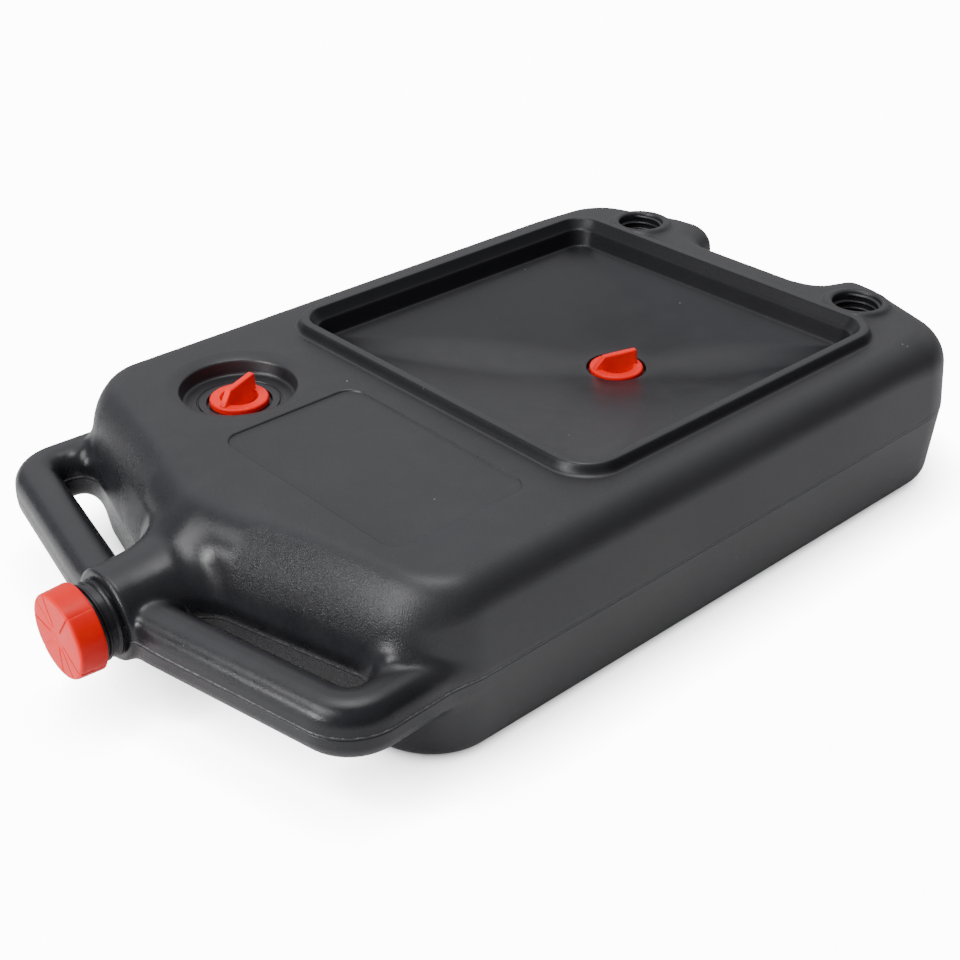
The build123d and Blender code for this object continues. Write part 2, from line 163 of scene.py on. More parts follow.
def lathe(name, profile, centre, axis, segments):
    """A solid turned from a profile of (radius, height) pairs, all radii above 0."""
    angle = np.linspace(0, 2 * math.pi, segments, endpoint=False)
    cos, sin = np.cos(angle), np.sin(angle)
    return stack(name, [np.stack(np.broadcast_arrays(*turned(centre, axis, r, h, cos, sin)), 1)
                        for r, h in profile])


def helix(name, centre, axis, radii, widths, start, turns):
    """A right-hand thread ridge with faded ends. Radii and widths are (base, crest)."""
    fade = 40           # degrees over which each end fades
    per_turn = 64
    r_base, r_crest = radii
    w_base, w_crest = widths
    n = int(per_turn * turns) + 1
    rings = []
    for i in range(n):
        angle = 2 * math.pi * i / per_turn
        h = start + THREAD_PITCH * i / per_turn
        full = min(1.0, math.degrees(angle) / fade, (n - 1 - i) * 360.0 / per_turn / fade)
        full = math.sin(full * math.pi / 2)
        crest = r_base + (r_crest - r_base) * (0.1 + 0.9 * full)
        crest_half = w_crest * (0.3 + 0.7 * full) / 2 * 0.5
        mid = r_base + (crest - r_base) * 0.72
        mid_half = w_crest * 0.62 + w_base * 0.1
        profile = [(r_base, h - w_base / 2), (mid, h - mid_half), (crest, h - crest_half),
                   (crest, h + crest_half), (mid, h + mid_half), (r_base, h + w_base / 2)]
        cos, sin = math.cos(angle), math.sin(angle)
        rings.append([turned(centre, axis, r, along, cos, sin) for r, along in profile])
    return stack(name, rings)


def rounded_ring(half_x, radius, z, cx, half_y=None, cy=0.0):
    """Points of a level rectangle with rounded corners; square unless half_y is given."""
    arc_steps, side_steps = 14, 10
    hx, hy = half_x - radius, (half_x if half_y is None else half_y) - radius
    corners = [(hx, hy, 0), (-hx, hy, 90), (-hx, -hy, 180), (hx, -hy, 270)]
    points = []
    for k, (px, py, from_angle) in enumerate(corners):
        for i in range(arc_steps + 1):
            a = math.radians(from_angle + 90.0 * i / arc_steps)
            points.append((px + radius * math.cos(a), py + radius * math.sin(a)))
        qx, qy, _ = corners[(k + 1) % 4]
        a = math.radians(from_angle + 90)
        side_start = np.array([px + radius * math.cos(a), py + radius * math.sin(a)])
        side_end = np.array([qx + radius * math.cos(a), qy + radius * math.sin(a)])
        for i in range(1, side_steps):
            points.append(tuple(side_start + (side_end - side_start) * i / side_steps))
    return [(cx + x, cy + y, z) for x, y in points]


# ---------------------------------------------------------------------------
# the blow-moulded body as a distance field, negative inside
# ---------------------------------------------------------------------------
# plan outline at the parting plane, from the front to the rear on +Y: (x, y), corner radius
OUTLINE = [((-261.5, 0.0), 60.0), ((-211.0, 192.0), 55.0), ((302.7, 192.0), 55.0),
           ((333.2, 105.0), 60.0), ((333.2, 66.0), 24.0), ((294.0, 53.0), 15.0)]
# draft of the walls, as slopes
WALL_DRAFT, FRONT_UPPER_DRAFT, FRONT_LOWER_DRAFT, HANDLE_DRAFT = (
    math.tan(math.radians(d)) for d in (5, 12, 9, 4))
BOTTOM_EDGE_R = 14.0
NECK_R = 30.0
NECK_REAR_X = -180.0
COLLAR_R = 24.6             # round the rear sockets, at deck height
COLLAR_BOTTOM = 100.0

# corners of the +Y handle's centre line in plan; the first ones lie inside the spout
HANDLE_LINE = [(-291.0, 0.0), (-290.2, -45.0), (-190.0, -45.0), (-150.0, 172.0), (-254.9, 175.6)]
HANDLE_CORNER_R = 22.0
HANDLE_Z = 59.0
HANDLE_SEAM_Z = 61.0
HANDLE_HALF_WIDTH, HANDLE_HALF_HEIGHT, HANDLE_EDGE_R = 15.6, 19.3, 13.0


def smooth_step(x, a, b):
    t = np.clip((x - a) / (b - a), 0.0, 1.0)
    return t * t * (3 - 2 * t)


def outline_pieces():
    """The straight lines and arcs of the whole plan outline, clockwise seen from above."""
    corners = OUTLINE + [((x, -y), r) for (x, y), r in reversed(OUTLINE[1:])]
    n = len(corners)
    arcs, ends = [], []
    for i in range(n):
        p0, p1, p2 = (np.array(corners[k % n][0]) for k in (i - 1, i, i + 1))
        r = corners[i][1]
        u, v = (p1 - p0) / np.linalg.norm(p1 - p0), (p2 - p1) / np.linalg.norm(p2 - p1)
        turn = math.atan2(u[0] * v[1] - u[1] * v[0], u @ v)
        reach = r * math.tan(abs(turn) / 2)
        start, end = p1 - u * reach, p1 + v * reach
        side = 1.0 if turn > 0 else -1.0
        centre = start + side * r * np.array([-u[1], u[0]])
        arcs.append((centre, r, math.atan2(*(start - centre)[::-1]), turn))
        ends.append((start, end))
    lines = [(ends[i - 1][1], ends[i][0]) for i in range(n)]
    return lines, arcs


LINES, ARCS = outline_pieces()


def outline_distance(x, y):
    """Signed distance to the plan outline: that of the nearest piece facing the point."""
    best = np.full(x.shape, 1e9, np.float32)
    signed = np.zeros(x.shape, np.float32)
    for a, b in LINES:
        d = b - a
        length = np.linalg.norm(d)
        d = d / length
        along = (x - a[0]) * d[0] + (y - a[1]) * d[1]
        across = (x - a[0]) * (-d[1]) + (y - a[1]) * d[0]
        nearer = (along >= -0.02) & (along <= length + 0.02) & (np.abs(across) < best)
        best[nearer] = np.abs(across)[nearer]
        signed[nearer] = across[nearer]
    for centre, r, start_angle, turn in ARCS:
        dx, dy = x - centre[0], y - centre[1]
        radius = np.sqrt(dx * dx + dy * dy)
        angle = np.arctan2(dy, dx) - (start_angle + turn / 2)
        angle = np.mod(angle + math.pi, 2 * math.pi) - math.pi
        value = (radius - r) if turn < 0 else (r - radius)
        nearer = (np.abs(angle) <= abs(turn) / 2 + 1e-3) & (np.abs(value) < best)
        best[nearer] = np.abs(value)[nearer]
        signed[nearer] = value[nearer]
    return signed


def polygon_distance(x, y, points):
    """Signed distance to a convex polygon given counter-clockwise."""
    distance = np.full(x.shape, 1e9, np.float32)
    outside = np.full(x.shape, -1e9, np.float32)
    for i, (ax, ay) in enumerate(points):
        bx, by = points[(i + 1) % len(points)]
        ex, ey = bx - ax, by - ay
        wx, wy = x - ax, y - ay
        t = np.clip((wx * ex + wy * ey) / (ex * ex + ey * ey), 0, 1)
        distance = np.minimum(distance, np.hypot(wx - ex * t, wy - ey * t))
        outside = np.maximum(outside, (wx * ey - wy * ex) / math.hypot(ex, ey))
    return np.where(outside > 0, distance, -distance)


def inset_polygon(points, inset):
    """Corners of a convex counter-clockwise polygon moved inwards."""
    n = len(points)
    sides = []
    for i in range(n):
        a, b = np.array(points[i]), np.array(points[(i + 1) % n])
        d = (b - a) / np.linalg.norm(b - a)
        sides.append((a + inset * np.array([-d[1], d[0]]), d))
    out = []
    for i in range(n):
        (p, d), (q, e) = sides[i - 1], sides[i]
        t = np.linalg.solve(np.array([[d[0], -e[0]], [d[1], -e[1]]]), q - p)
        out.append(tuple(p + d * t[0]))
    return out


HANDLE_CORE = inset_polygon(HANDLE_LINE, HANDLE_CORNER_R)


def rolled(a, b, r):
    """Intersection of two solids with a rolled edge."""
    u, v = np.maximum(a + r, 0), np.maximum(b + r, 0)
    return np.minimum(np.maximum(a, b), -r) + np.sqrt(u * u + v * v)


def blend(a, b, k):
    """Union of two solids with a fillet."""
    h = np.maximum(k - np.abs(a - b), 0.0) / k
    return np.minimum(a, b) - h * h * k * 0.25


def body_field(x, y, z):
    outline = outline_distance(x, y)
    side_y = np.abs(y)
    front = 1 - smooth_step(x, -225.0, -165.0)
    rear = smooth_step(x, 215.0, 285.0)
    valley = rear * (1 - smooth_step(side_y, 48.0, 78.0))
    corner = rear * smooth_step(side_y, 70.0, 120.0)
    upper = WALL_DRAFT + (FRONT_UPPER_DRAFT - WALL_DRAFT) * front
    lower = WALL_DRAFT + (FRONT_LOWER_DRAFT - WALL_DRAFT) * front
    rise = z - PARTING_Z
    # the crease at the parting plane is eased
    eased = np.sqrt(rise * rise + 0.6)
    slope = np.where(rise > 0, upper, lower)
    wall = (outline + eased * slope) / np.sqrt(1 + slope * slope)
    top_edge_r = 21.0 + 8.0 * front - 7.5 * valley + 5.0 * corner
    return rolled(rolled(wall, z - DECK_Z, top_edge_r), -z, BOTTOM_EDGE_R)


def handle_field(x, y, z):
    """Both loop handles: a drafted bar along a centre line with rounded corners in plan."""
    sideways = np.abs(polygon_distance(x, np.abs(y), HANDLE_CORE) - HANDLE_CORNER_R)
    upward = z - HANDLE_Z
    from_seam = z - HANDLE_SEAM_Z + 2.0
    r = HANDLE_EDGE_R
    u = sideways - (HANDLE_HALF_WIDTH - np.abs(from_seam) * HANDLE_DRAFT)
    w = np.abs(upward) - HANDLE_HALF_HEIGHT
    uu, ww = np.maximum(u + r, 0), np.maximum(w + r, 0)
    f = np.minimum(np.maximum(u + r, w + r), 0) + np.sqrt(uu * uu + ww * ww) - r
    # nothing in front of the spout's shoulder
    return rolled(f, (LIP_X + 1.6) - x, 5.0)


def neck_field(x, y, z):
    radius = np.sqrt(y * y + (z - PARTING_Z) ** 2)
    flare = 1.6 * smooth_step(x, -290.0, -262.0) + 7.0 * smooth_step(x, -275.0, -235.0)
    return np.maximum(rolled(radius - NECK_R - flare, LIP_X - x, 4.0), x - NECK_REAR_X)


def collar_field(x, y, z):
    """The tapered collars round the two rear sockets."""
    radius = np.hypot(x - REAR_SOCKET[0], np.abs(y) - REAR_SOCKET[1])
    cone = (radius - (COLLAR_R - 0.28 * (z - DECK_Z))) * 0.96
    return rolled(rolled(cone, z - REAR_SOCKET_TOP, 1.9), COLLAR_BOTTOM - z, 1.0)


def field(x, y, z):
    side_y = np.abs(y)
    f = blend(body_field(x, y, z), neck_field(x, y, z), 13.0)
    # the handle's fillet varies along the handle
    fillet = (8.0 + 12.0 * smooth_step(side_y, 125.0, 148.0)
              - 15.0 * smooth_step(side_y, 160.0, 182.0)
              - 4.0 * (1 - smooth_step(side_y, 26.0, 42.0)))
    f = blend(f, handle_field(x, y, z), fillet)
    f = blend(f, collar_field(x, y, z), 5.0)
    return rolled(f, LIP_X - x, 1.5)


def field_at(points, step=400000):
    """The field at many points, in chunks to spare memory."""
    return np.concatenate([field(*points[i:i + step].T) for i in range(0, len(points), step)])


def gradient(points, e=0.05):
    out = np.zeros_like(points)
    for k in range(3):
        d = np.zeros(3)
        d[k] = e
        out[:, k] = (field_at(points + d) - field_at(points - d)) / (2 * e)
    return out


def surface_nets(h):
    """Vertices and quads of the field's zero level on a grid of step h."""
    x = np.arange(-322.0, 342.0, h)
    y = np.arange(-198.0, 198.0 + h, h)
    z = np.arange(-4.0, 132.0, h)
    f = np.empty((len(x), len(y), len(z)), np.float32)
    for i in range(0, len(x), 24):
        slab = np.meshgrid(x[i:i + 24], y, z, indexing="ij")
        f[i:i + 24] = field(*(a.astype(np.float32) for a in slab))
    inside = f < 0
    nx, ny, nz = f.shape
    count = np.stack([inside[i:nx - 1 + i, j:ny - 1 + j, k:nz - 1 + k]
                      for i in (0, 1) for j in (0, 1) for k in (0, 1)]).sum(0)
    # one vertex in each cell the surface crosses, at the mean of its edge crossings
    active = (count > 0) & (count < 8)
    index = np.full(active.shape, -1, np.int64)
    ci, cj, ck = np.nonzero(active)
    index[ci, cj, ck] = np.arange(len(ci))
    total = np.zeros((len(ci), 3))
    crossings = np.zeros(len(ci))
    corners = [(0, 0, 0), (1, 0, 0), (0, 1, 0), (0, 0, 1), (1, 1, 0), (1, 0, 1), (0, 1, 1), (1, 1, 1)]
    edges = [(a, b) for a in corners for b in corners
             if sum(b) - sum(a) == 1 and all(b[i] >= a[i] for i in range(3))]
    for a, b in edges:
        fa = f[ci + a[0], cj + a[1], ck + a[2]]
        fb = f[ci + b[0], cj + b[1], ck + b[2]]
        crossed = (fa < 0) != (fb < 0)
        t = np.where(crossed, fa / np.where(crossed, fa - fb, 1), 0)
        for i in range(3):
            total[:, i] += np.where(crossed, a[i] + t * (b[i] - a[i]), 0)
        crossings += crossed
    verts = total / crossings[:, None] + np.stack([ci, cj, ck], 1)
    verts = verts * h + np.array([x[0], y[0], z[0]])
    # one quad round each grid edge the surface crosses
    quads = []
    for axis in range(3):
        near = tuple(slice(0, -1) if k == axis else slice(1, -1) for k in range(3))
        far = tuple(slice(1, None) if k == axis else slice(1, -1) for k in range(3))
        starts_inside = inside[near]
        crossed = starts_inside != inside[far]
        cell = np.stack(np.nonzero(crossed))
        b, c = (np.eye(3, dtype=int)[(axis + k) % 3][:, None] for k in (1, 2))
        quad = np.stack([index[tuple(cell + step)] for step in (0, b, b + c, c)], 1)
        quads.append(np.where(starts_inside[crossed][:, None], quad, quad[:, ::-1]))
    return verts, np.concatenate(quads)


def build_body():
    h = 1.8
    verts, quads = surface_nets(h)
    # pull the vertices onto the exact surface
    for _ in range(3):
        slope = gradient(verts)
        value = field_at(verts)
        steepness = np.maximum((slope * slope).sum(1), 0.2)
        verts = verts - slope * np.clip(value / steepness, -h, h)[:, None]
    body = quad_object("canister_shell", verts, quads)
    modifier = body.modifiers.new("d", "DECIMATE")
    modifier.ratio = min(1.0, (120000) / (len(quads) * 2))
    bake(body)
    return body


def set_field_normals(obj):
    """Exact normals from the field on the smooth skin, ordinary ones on the cut features."""
    mesh = obj.data
    smooth(mesh, 34)
    mesh.update()
    normals = fetch(mesh.corner_normals, "vector", np.float32, 3).astype(float)
    loop_vertex = fetch(mesh.loops, "vertex_index", np.int32)
    points = fetch(mesh.vertices, "co", np.float32, 3).astype(float)
    near = np.nonzero(np.abs(field_at(points)) < 0.12)[0]
    exact = np.zeros_like(points)
    exact[near] = gradient(points[near], 0.15)
    length = np.linalg.norm(exact, axis=1)
    good = length > 0.3
    exact[good] /= length[good][:, None]
    face_normals = fetch(mesh.polygons, "normal", np.float32, 3)
    n_faces = len(mesh.polygons)
    face = np.repeat(np.arange(n_faces), fetch(mesh.polygons, "loop_total", np.int32))
    # a face takes exact normals only if they suit all its corners
    fits = good[loop_vertex] & ((exact[loop_vertex] * face_normals[face]).sum(1) > 0.85)
    misfits = np.zeros(n_faces)
    np.add.at(misfits, face, ~fits)
    use = misfits[face] == 0
    normals[use] = exact[loop_vertex][use]
    mesh.normals_split_custom_set([tuple(v) for v in normals])


# ---------------------------------------------------------------------------
# features joined to and cut from the body
# ---------------------------------------------------------------------------
# raised rim of the catch tray, with a soft foot on the deck: half size, corner radius, height
RIM = [(159.0, 33.4, 113.0), (158.8, 33.2, 120.7), (157.2, 31.7, 121.22), (156.0, 30.7, 121.66),
       (155.0, 29.8, 122.3), (154.3, 29.2, 123.3), (153.7, 28.7, 124.8), (153.2, 28.2, 126.3),
       (152.7, 27.8, 127.3), (152.1, 27.3, 127.95), (151.3, 26.6, 128.35), (150.3, 25.8, 128.5)]
# tray wall from above the rim down to the edge of the floor: half size, corner radius, height
TRAY_WALL = [
    (148.6, 23.0, 133.0), (147.3, 21.6, 128.56), (146.5, 21.0, 128.42), (145.9, 20.5, 128.05),
    (145.5, 20.2, 127.4), (144.6, 19.4, 125.8), (142.5, 17.6, 122.6), (141.7, 17.0, 121.4),
    (141.2, 16.6, 120.9), (140.8, 16.2, 120.6), (140.45, 15.9, 120.2), (140.25, 15.7, 119.5),
    (140.0, 15.4, 118.3), (139.2, 14.8, 113.6), (138.4, 14.2, 109.0), (138.15, 13.9, 108.0),
    (137.7, 13.6, 107.5), (137.0, 13.2, 107.25)]
# tray floor: fraction of the way from the wall to the drain, corner radius
TRAY_FLOOR = [(0.03, 15.5), (0.1, 21.0), (0.2, 28.0), (0.3, 34.0), (0.4, 38.5),
              (0.5, 41.5), (0.6, 43.0), (0.7, 42.0), (0.8, 38.5), (0.87, 35.0)]
TRAY_FLOOR_END = 28.0       # half size the floor shrinks towards
# label recess: extents, then (growth of half size and corner radius, height)
LABEL_X, LABEL_Y, LABEL_CORNER_R = (-184.4, -78.6), (-129.8, 42.8), 12.0
LABEL_WALL = [(3.0, 123.0), (2.4, 121.63), (0.5, 120.94), (0.1, 120.6), (-0.1, 120.2),
              (-0.3, 119.9), (-0.8, 119.7), (-1.4, 119.65)]
# socket cuts from the top down: radius, height
VENT_CUT = [
    (51.5, 125.0), (51.0, 121.3), (49.2, 121.14), (47.2, 120.85), (45.0, 120.3), (42.8, 119.6),
    (41.0, 118.9), (40.2, 118.45), (39.8, 117.9), (39.6, 117.0), (38.9, 110.6), (38.7, 109.5),
    (38.2, 108.7), (37.2, 108.25), (36.0, 108.2), (29.2, 108.2), (28.9, 107.95), (28.7, 107.45),
    (28.0, 107.4), (27.7, 107.95), (27.4, 108.2), (23.0, 108.2), (22.5, 108.0), (22.25, 107.5),
    (22.2, 105.4), (21.9, 105.1), (18.4, 105.1), (18.0, 104.9), (17.9, 104.4), (17.9, 66.0)]
DRAIN_CUT = [(23.2, 79.2), (23.0, 77.75), (22.5, 77.45), (22.25, 76.9), (22.2, 73.0),
             (21.9, 72.7), (18.4, 72.7), (18.0, 72.5), (17.9, 72.0), (17.9, 22.0)]
REAR_CUT = [(20.6, 127.0), (20.4, 124.7), (19.6, 124.5), (18.8, 124.1), (18.2, 123.4),
            (17.9, 122.4), (17.9, 101.5), (17.4, 100.1), (16.2, 99.3), (15.0, 99.2)]
# spout, as radius and distance towards -X: neck tube with a bead, and its bore
NECK_TUBE = [(23.5, 290.0), (23.5, 302.6), (24.9, 303.6), (25.1, 304.6), (24.6, 305.6),
             (23.5, 306.4), (23.5, 328.0), (23.2, 328.7), (22.6, 329.0)]
NECK_BORE = [(20.5, 232.0), (20.5, 328.2), (20.8, 328.8), (21.2, 329.6)]


def tray_rings():
    """Rings of the tray's hollow, from above the rim down to the drain's ring."""
    to_drain = DRAIN[0] - TRAY_X
    rows = [(half, r, z, TRAY_X) for half, r, z in TRAY_WALL]
    edge_half, _, edge_z = TRAY_WALL[-1]
    for t, r in TRAY_FLOOR:
        half = edge_half + (TRAY_FLOOR_END - edge_half) * t
        rows.append((half, r, edge_z + (DRAIN_Z + 0.2 - edge_z) * t, TRAY_X + to_drain * t))
    rows += [(34.0, 30.5, DRAIN_Z + 1.75, TRAY_X + to_drain * 0.955),
             (28.2, 27.9, DRAIN_Z + 0.55, DRAIN[0]),
             (25.4, 25.35, DRAIN_Z + 0.1, DRAIN[0]),
             (24.2, 24.15, DRAIN_Z, DRAIN[0])]
    return [rounded_ring(*row) for row in rows]


def label_rings():
    cx, cy = sum(LABEL_X) / 2, sum(LABEL_Y) / 2
    hx, hy = (LABEL_X[1] - LABEL_X[0]) / 2, (LABEL_Y[1] - LABEL_Y[0]) / 2
    return [rounded_ring(hx + g, LABEL_CORNER_R + g, z, cx, half_y=hy + g, cy=cy)
            for g, z in LABEL_WALL]


def shape_deck(body):
    rim = [rounded_ring(half, r, z, TRAY_X) for half, r, z in RIM]
    combine(body, stack("rim", rim), "UNION")
    combine(body, stack("tray", tray_rings()), "DIFFERENCE")
    combine(body, stack("label", label_rings()), "DIFFERENCE")


def cut_sockets(body):
    rear_x, rear_y = REAR_SOCKET
    for name, x, y, profile in (("vent_cut", *VENT, VENT_CUT),
                                ("drain_cut", *DRAIN, DRAIN_CUT),
                                ("park_cut", rear_x, rear_y, REAR_CUT),
                                ("park_cut", rear_x, -rear_y, REAR_CUT)):
        combine(body, lathe(name, profile, (x, y, 0.0), "z", 112), "DIFFERENCE")
    # thread ridges: centre, height they hang from, turns, drop to the lower end
    ridges = ((*DRAIN, DRAIN_SEAT_Z, 1.85, 11.4), (*VENT, VENT_SEAT_Z, 1.85, 11.4),
              (rear_x, rear_y, REAR_SOCKET_TOP, 3.2, 19.4),
              (rear_x, -rear_y, REAR_SOCKET_TOP, 3.2, 19.4))
    for k, (x, y, top, turns, drop) in enumerate(ridges):
        ridge = helix("ridge%d" % k, (x, y, 0.0), "z", radii=(THREAD_ROOT_R + 0.6, THREAD_CREST_R),
                      widths=(3.0, 1.0), start=top - drop, turns=turns)
        combine(body, ridge, "UNION")


def finish_spout(body):
    combine(body, lathe("tube", NECK_TUBE, SPOUT_AXIS, "x", 112), "UNION")
    thread = helix("neck_thread", SPOUT_AXIS, "x", radii=(22.9, 24.9), widths=(3.3, 1.1),
                   start=307.5, turns=3.5)
    combine(body, thread, "UNION")
    combine(body, lathe("bore", NECK_BORE, SPOUT_AXIS, "x", 96), "DIFFERENCE")


def hand_over(obj, part):
    """Scales a finished piece to metres and puts it in place of its CAD part."""
    obj.data.transform(Matrix.Scale(MM, 4))
    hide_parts(part)
    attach(obj, part)


shell = build_body()
shape_deck(shell)
cut_sockets(shell)
finish_spout(shell)
set_field_normals(shell)
hand_over(shell, "canister")


# ---------------------------------------------------------------------------
# spout cap: moulded grooves run from near the centre of the face down the side
# ---------------------------------------------------------------------------
CAP_FACE, CAP_FOOT = 333.2, 316.0    # distances towards -X
CAP_R = 28.1
CAP_FACE_R, CAP_EDGE_R = 25.4, 2.0   # flat part of the face, and the roll at its edge
CAP_BORE_R = 25.7
# angle in degrees, depth
CAP_GROOVES = [(22.0, 0.6), (48.0, 0.45), (81.0, 0.55), (129.0, 0.5),
               (183.0, 0.6), (210.0, 0.5), (237.0, 1.0), (322.0, 1.0)]
CAP_FACE_STATIONS = [0.3, 2.0, 4.0, 5.4, 6.2, 6.8, 7.4, 8.2, 9.5, 11.5, 14.0, 17.0, 20.0, 22.5,
                     24.4, CAP_FACE_R]
# radius, distance towards -X
CAP_RIM = [(CAP_R, 316.5), (27.95, 316.15), (27.6, CAP_FOOT), (26.2, CAP_FOOT)]
CAP_INSIDE = [(25.8, 316.15), (CAP_BORE_R, 316.6), (CAP_BORE_R, 323.0), (CAP_BORE_R, 330.2),
              (25.3, 330.6), (20.0, 330.6), (8.0, 330.6), (0.3, 330.6)]


def cap_outside():
    """(radius, distance) from the middle of the slightly domed face to the foot."""
    face = [(r, CAP_FACE - 0.0011 * (CAP_FACE_R - r) ** 2) for r in CAP_FACE_STATIONS]
    edge = [(CAP_FACE_R + CAP_EDGE_R * math.sin(a), CAP_FACE - CAP_EDGE_R + CAP_EDGE_R * math.cos(a))
            for a in np.radians([15, 30, 45, 60, 75, 87])]
    side = [(27.42 + 0.68 * k, 331.0 - 14.4 * k) for k in (0.05, 0.2, 0.4, 0.6, 0.8, 0.93)]
    return face + edge + side + CAP_RIM


def groove_ring(angle, radius, height):
    """Radii and heights round one outside station, with the grooves pressed in."""
    radii, heights = np.full(len(angle), radius), np.full(len(angle), height)
    on_face = 1.0 - smooth_step(radius + max(0.0, CAP_FACE - height) * 0.5, 25.0, 27.6)
    start = smooth_step(radius, 5.6, 8.6)
    for degrees, depth in CAP_GROOVES:
        turn = np.mod(angle - math.radians(degrees) + math.pi, 2 * math.pi) - math.pi
        d = np.where(np.abs(turn) < 1.4, radius * np.sin(turn), 99.0)
        # a rounded groove on the face, a shallow step with one steep side lower down
        groove = np.clip(1 - (d / 0.75) ** 2, 0, 1) ** 0.8
        heights = heights - groove * depth * 1.1 * start * on_face
        step = np.exp(-np.clip(d, 0, None) / 2.6) * (d > 0) + np.clip(1 + d / 0.5, 0, 1) * (d <= 0)
        up_side = (height - CAP_FOOT) / (CAP_FACE - CAP_FOOT)
        radii = radii - step * depth * 0.55 * (1 - on_face) * (0.4 + 0.6 * up_side)
    # the moulded rim isn't quite round
    radii = radii + 0.10 * (1 - on_face) * np.sin(angle * 8 + 0.6) * (radius > 20)
    return np.minimum(radii, CAP_R), heights


def build_cap():
    n = 720
    angle = np.linspace(0, 2 * math.pi, n, endpoint=False)
    stations = [groove_ring(angle, r, h) for r, h in cap_outside()]
    stations += [(np.full(n, r), np.full(n, h)) for r, h in CAP_INSIDE]
    cap = stack("cap_shell", [
        np.stack(turned(SPOUT_AXIS, "x", radii, heights, np.cos(angle), np.sin(angle)), 1)
        for radii, heights in stations])
    ridge = helix("cap_ridge", SPOUT_AXIS, "x", radii=(CAP_BORE_R + 0.5, 24.2), widths=(3.0, 1.1),
                  start=320.0, turns=1.6)
    combine(cap, ridge, "UNION")
    smooth(cap.data, 38)
    return cap


cap_shell = build_cap()
hand_over(cap_shell, "spout_cap")


# ---------------------------------------------------------------------------
# materials, in metres
# ---------------------------------------------------------------------------
FALL = (1.0, 0.0)
MIDDLE = (0.3, 0.7)         # the range most noise values fall in


class Nodes:
    """Short calls that add nodes to a shader tree and return their output sockets."""

    def __init__(self, tree, coordinates="Object"):
        self.tree = tree
        self.bsdf = tree.nodes.get("Principled BSDF")
        self.place = self.add("ShaderNodeTexCoord").outputs[coordinates]

    def add(self, kind, **settings):
        node = self.tree.nodes.new(kind)
        for key, value in settings.items():
            setattr(node, key, value)
        return node

    def put(self, socket, value):
        """Links an output to the socket, or sets a plain value."""
        if isinstance(value, bpy.types.NodeSocket):
            self.tree.links.new(value, socket)
        else:
            socket.default_value = value

    def surface(self, name, value):
        self.put(self.bsdf.inputs[name], value)

    def math(self, operation, a, b=0.0):
        node = self.add("ShaderNodeMath", operation=operation)
        self.put(node.inputs[0], a)
        self.put(node.inputs[1], b)
        return node.outputs[0]

    def plus(self, a, b):
        return self.math("ADD", a, b)

    def minus(self, a, b):
        return self.math("SUBTRACT", a, b)

    def size(self, a):
        return self.math("ABSOLUTE", a)

    def times(self, *factors):
        return reduce(lambda a, b: self.math("MULTIPLY", a, b), factors)

    def noise(self, scale, detail=2.0, rough=0.5, stretch=None, distortion=0.0):
        place = self.place
        if stretch:
            mapping = self.add("ShaderNodeMapping")
            self.put(mapping.inputs["Scale"], stretch)
            self.put(mapping.inputs["Vector"], place)
            place = mapping.outputs["Vector"]
        node = self.add("ShaderNodeTexNoise")
        for key, value in (("Scale", scale), ("Detail", detail), ("Roughness", rough),
                           ("Distortion", distortion), ("Vector", place)):
            self.put(node.inputs[key], value)
        return node.outputs["Fac"]

    def cells(self, feature, scale):
        node = self.add("ShaderNodeTexVoronoi", feature=feature)
        self.put(node.inputs["Scale"], scale)
        self.put(node.inputs["Vector"], self.place)
        return node.outputs["Distance"]

    def ramp(self, value, over, to=(0.0, 1.0), kind="SMOOTHSTEP"):
        """Maps the range given by over to the range given by to."""
        node = self.add("ShaderNodeMapRange", interpolation_type=kind)
        for key, number in (("Value", value), ("From Min", over[0]), ("From Max", over[1]),
                            ("To Min", to[0]), ("To Max", to[1])):
            self.put(node.inputs[key], number)
        return node.outputs["Result"]

    def mix(self, mask, off, on, amount=None, kind="FLOAT", sockets=(2, 3, 0)):
        """Goes from off to on with the mask, which amount weakens."""
        if amount is not None:
            mask = self.times(mask, amount)
        node = self.add("ShaderNodeMix", data_type=kind)
        off_in, on_in, result = sockets
        self.put(node.inputs[0], mask)
        self.put(node.inputs[off_in], off)
        self.put(node.inputs[on_in], on)
        return node.outputs[result]

    def tint(self, mask, off, on, amount=None):
        """Mixes two colours."""
        off, on = ((*c, 1.0) if isinstance(c, tuple) else c for c in (off, on))
        return self.mix(mask, off, on, amount, kind="RGBA", sockets=(6, 7, 2))

    def split(self, vector):
        node = self.add("ShaderNodeSeparateXYZ")
        self.put(node.inputs[0], vector)
        return node.outputs

    def geometry(self, name):
        return self.add("ShaderNodeNewGeometry").outputs[name]

    def bump(self, height, strength, depth, under=None):
        node = self.add("ShaderNodeBump")
        self.put(node.inputs["Strength"], strength)
        self.put(node.inputs["Distance"], depth)
        self.put(node.inputs["Height"], height)
        if under is not None:
            self.put(node.inputs["Normal"], under)
        return node.outputs["Normal"]


def new_material(name):
    material = bpy.data.materials.new(name)
    material.use_nodes = True
    return material, Nodes(material.node_tree)


